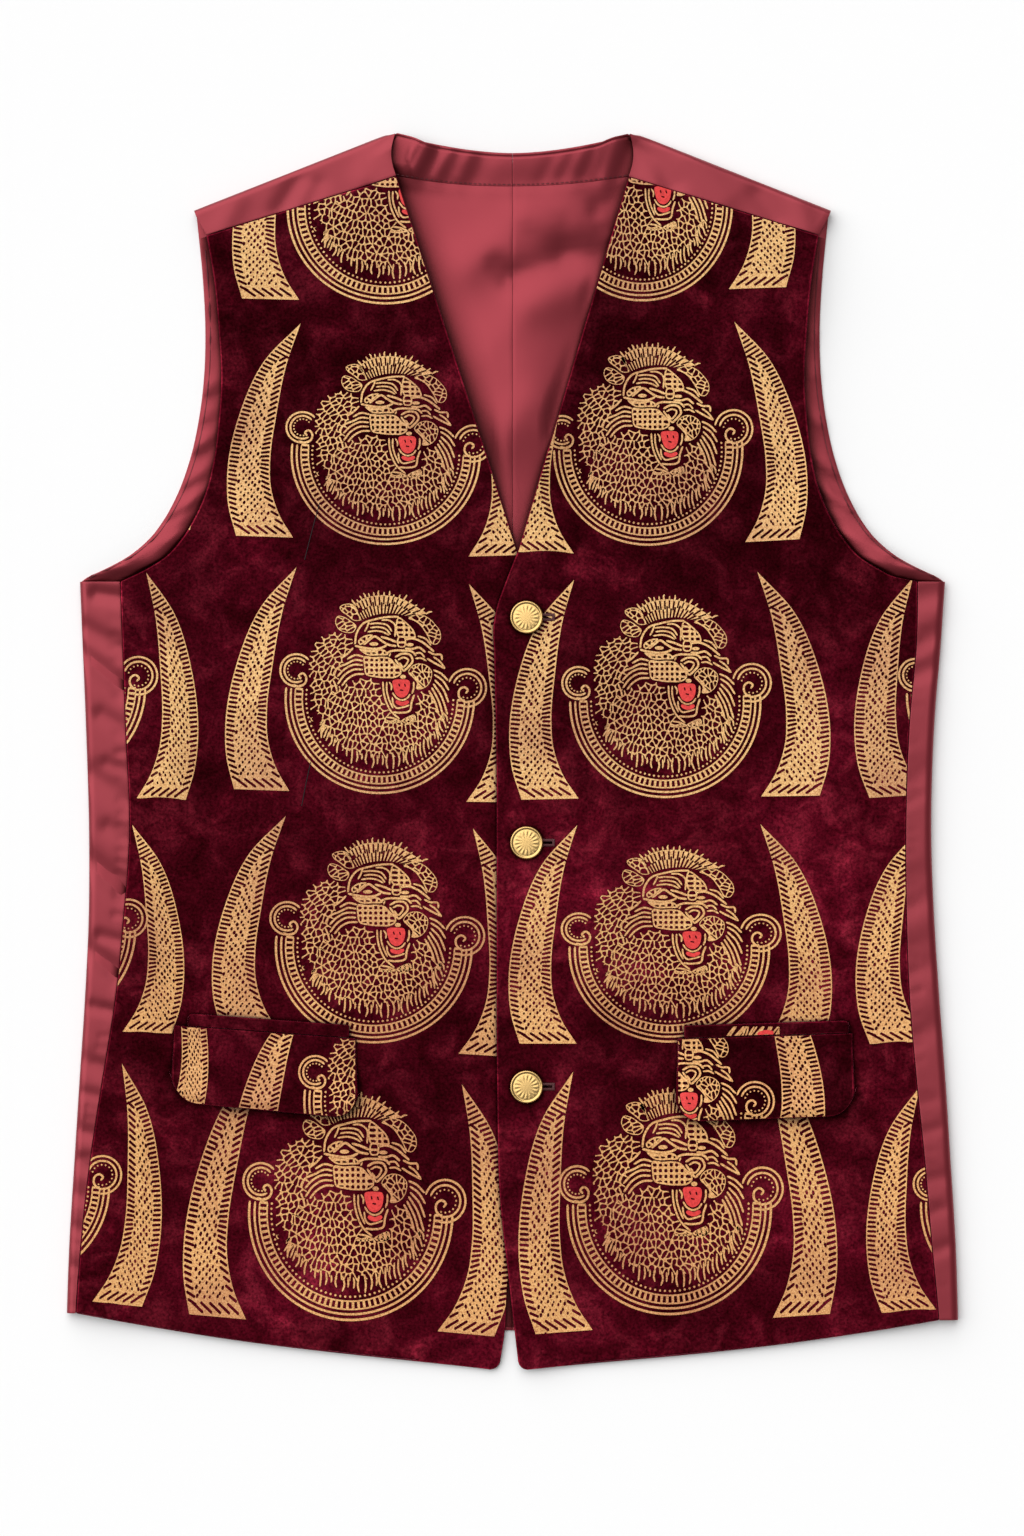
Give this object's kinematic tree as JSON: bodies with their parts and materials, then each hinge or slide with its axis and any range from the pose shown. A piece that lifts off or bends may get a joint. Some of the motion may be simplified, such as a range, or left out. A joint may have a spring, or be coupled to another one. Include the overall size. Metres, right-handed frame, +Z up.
{
  "type": "waistcoat laid flat",
  "caption": "Sleeveless V-neck velvet waistcoat with a gold print and a satin back, buttoned up and laid flat on its back.",
  "frame": {"origin": "middle of the garment's outline, on the surface that it lies on", "axes": "+X towards the wearer's left, +Y along the length towards the neck, +Z up off the surface"},
  "size_m": [0.5164, 0.717, 0.0099],
  "materials": {
    "satin": "wine-red satin with a soft sheen",
    "lining": "wine-red satin lining",
    "velvet": "dark burgundy velvet with a blotchy nap",
    "gold_print": "grainy gold print on the velvet",
    "red_print": "bright red print on the velvet",
    "thread": "sewing thread",
    "button_metal": "satin gold-coloured metal"
  },
  "bodies": {
    "root": {"back_left": "satin", "back_right": "satin", "lining_left": "lining", "lining_right": "lining", "neck_facing_left": "lining", "neck_facing_right": "lining", "front_left": "velvet", "front_right": "velvet", "welt_left": "velvet", "welt_right": "velvet", "flap_left": "velvet", "flap_right": "velvet", "button_1": "button_metal", "button_2": "button_metal", "button_3": "button_metal"}
  },
  "joints": []
}
